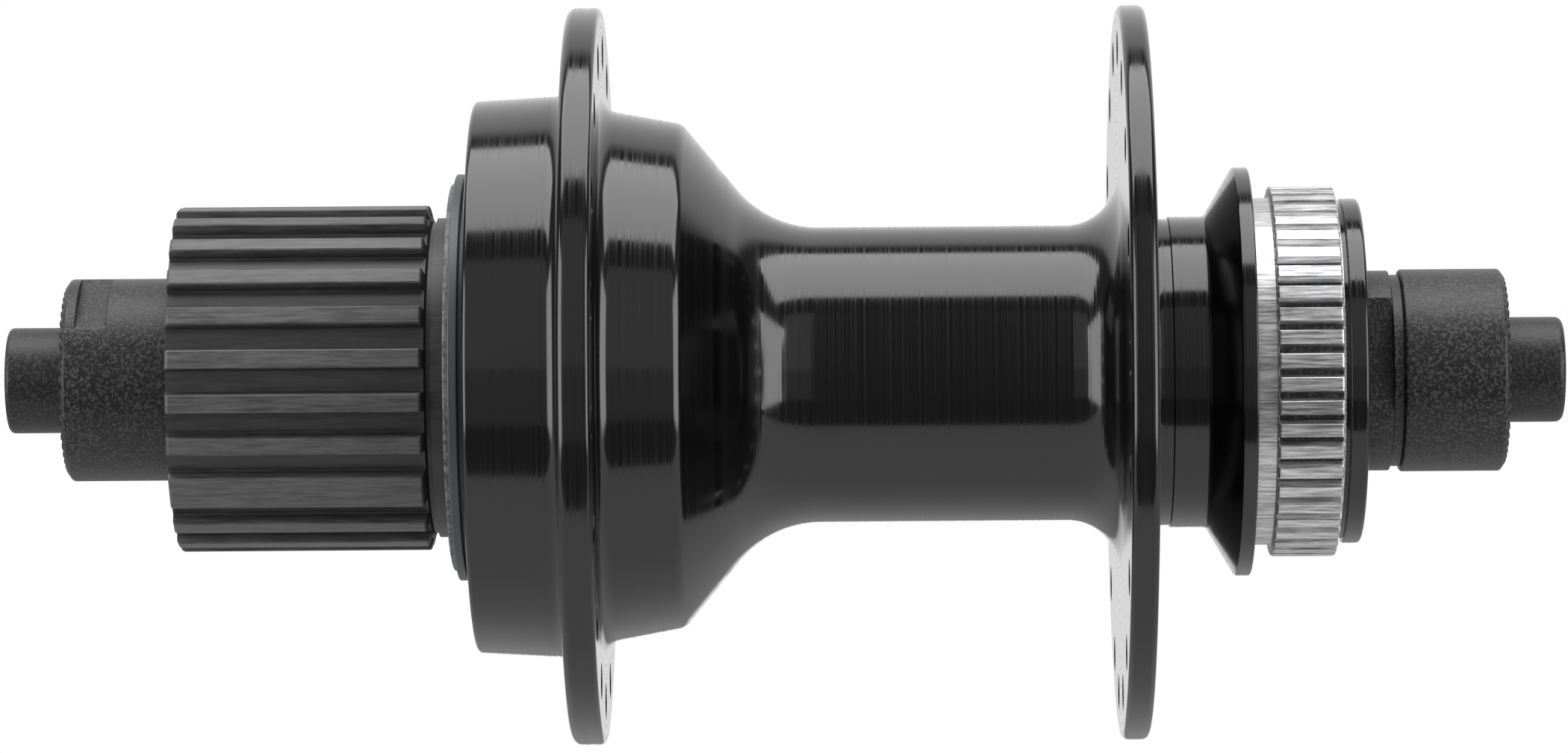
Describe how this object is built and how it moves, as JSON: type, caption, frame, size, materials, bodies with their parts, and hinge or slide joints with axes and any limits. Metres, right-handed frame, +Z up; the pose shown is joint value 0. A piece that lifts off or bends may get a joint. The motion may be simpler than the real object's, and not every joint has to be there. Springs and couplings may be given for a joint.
{
  "type": "bicycle rear hub",
  "caption": "Rear bicycle hub with spoke flanges, a freewheeling splined cassette body, a splined rotor mount and an axle on ball bearings.",
  "frame": {"origin": "on the axle's centre line, midway between the two locknut faces", "axes": "+X along the axle towards the rotor side, +Z up, -Y forwards on the bicycle"},
  "size_m": [0.146, 0.0692, 0.0692],
  "materials": {
    "axle_steel": "fine turned",
    "ground_steel": "ground",
    "bearing_steel": "polished",
    "satin_steel": "satin",
    "black_oxide_steel": "matt grainy",
    "black_anodised_aluminium": "gloss black anodised, with the rotor splines machined bare",
    "dark_driver_alloy": "matt dark grey with fine marks along the splines",
    "seal_rubber": "matt"
  },
  "bodies": {
    "axle_group": {"axle": "axle_steel", "cone_drive": "ground_steel", "spacer_drive": "ground_steel", "washer_drive": "ground_steel", "locknut_drive": "black_oxide_steel", "cone_brake": "black_oxide_steel", "dust_cover_brake": "ground_steel", "washer_brake": "black_oxide_steel", "locknut_brake": "black_oxide_steel"},
    "hub": {"hub_shell": "black_anodised_aluminium", "cup_brake": "ground_steel", "seal_brake": "seal_rubber", "freehub_inner_body": "ground_steel", "freehub_bolt": "ground_steel", "freehub_shim": "ground_steel", "cup_drive": "ground_steel", "pawl_spring": "bearing_steel", "hub_seal_ring": "satin_steel", "hub_seal_lip": "seal_rubber"},
    "cassette_body": {"driver_body": "dark_driver_alloy", "ratchet_ring": "ground_steel", "driver_dust_cap": "seal_rubber"},
    "pawl_a": {"pawl_a": "bearing_steel"},
    "pawl_b": {"pawl_b": "bearing_steel"},
    "axle_balls_drive": {"bearing_balls_drive": "bearing_steel"},
    "axle_balls_brake": {"bearing_balls_brake": "bearing_steel"},
    "freehub_balls_outer": {"driver_balls_outer": "bearing_steel"},
    "freehub_balls_inner": {"driver_balls_inner": "bearing_steel"}
  },
  "joints": [
    {"name": "hub_spin", "type": "hinge", "parent": "axle_group", "child": "hub", "pos_m": [0, 0, 0], "axis": [1, 0, 0], "continuous": true},
    {"name": "driver_spin", "type": "hinge", "parent": "hub", "child": "cassette_body", "pos_m": [-0.045, 0, 0], "axis": [1, 0, 0], "continuous": true},
    {"name": "pawl_a_click", "type": "hinge", "parent": "hub", "child": "pawl_a", "pos_m": [-0.0379, 0, 0.0096], "axis": [1, 0, 0], "range_deg": [0, 9], "stiffness_Nm_per_rad": 0.004, "springref_deg": 22.92},
    {"name": "pawl_b_click", "type": "hinge", "parent": "hub", "child": "pawl_b", "pos_m": [-0.0379, 0, -0.0096], "axis": [1, 0, 0], "range_deg": [0, 9], "stiffness_Nm_per_rad": 0.004, "springref_deg": 22.92},
    {"name": "axle_balls_drive_orbit", "type": "hinge", "parent": "axle_group", "child": "axle_balls_drive", "pos_m": [-0.049, 0, 0], "axis": [1, 0, 0], "continuous": true},
    {"name": "axle_balls_brake_orbit", "type": "hinge", "parent": "axle_group", "child": "axle_balls_brake", "pos_m": [0.0436, 0, 0], "axis": [1, 0, 0], "continuous": true},
    {"name": "freehub_balls_outer_orbit", "type": "hinge", "parent": "hub", "child": "freehub_balls_outer", "pos_m": [-0.0426, 0, 0], "axis": [1, 0, 0], "continuous": true},
    {"name": "freehub_balls_inner_orbit", "type": "hinge", "parent": "hub", "child": "freehub_balls_inner", "pos_m": [-0.033, 0, 0], "axis": [1, 0, 0], "continuous": true}
  ],
  "couplings": [
    {"joint": "axle_balls_drive_orbit", "follows": "hub_spin", "ratio": 0.6194},
    {"joint": "axle_balls_brake_orbit", "follows": "hub_spin", "ratio": 0.6194},
    {"joint": "freehub_balls_outer_orbit", "follows": "driver_spin", "ratio": 0.548},
    {"joint": "freehub_balls_inner_orbit", "follows": "driver_spin", "ratio": 0.548}
  ]
}
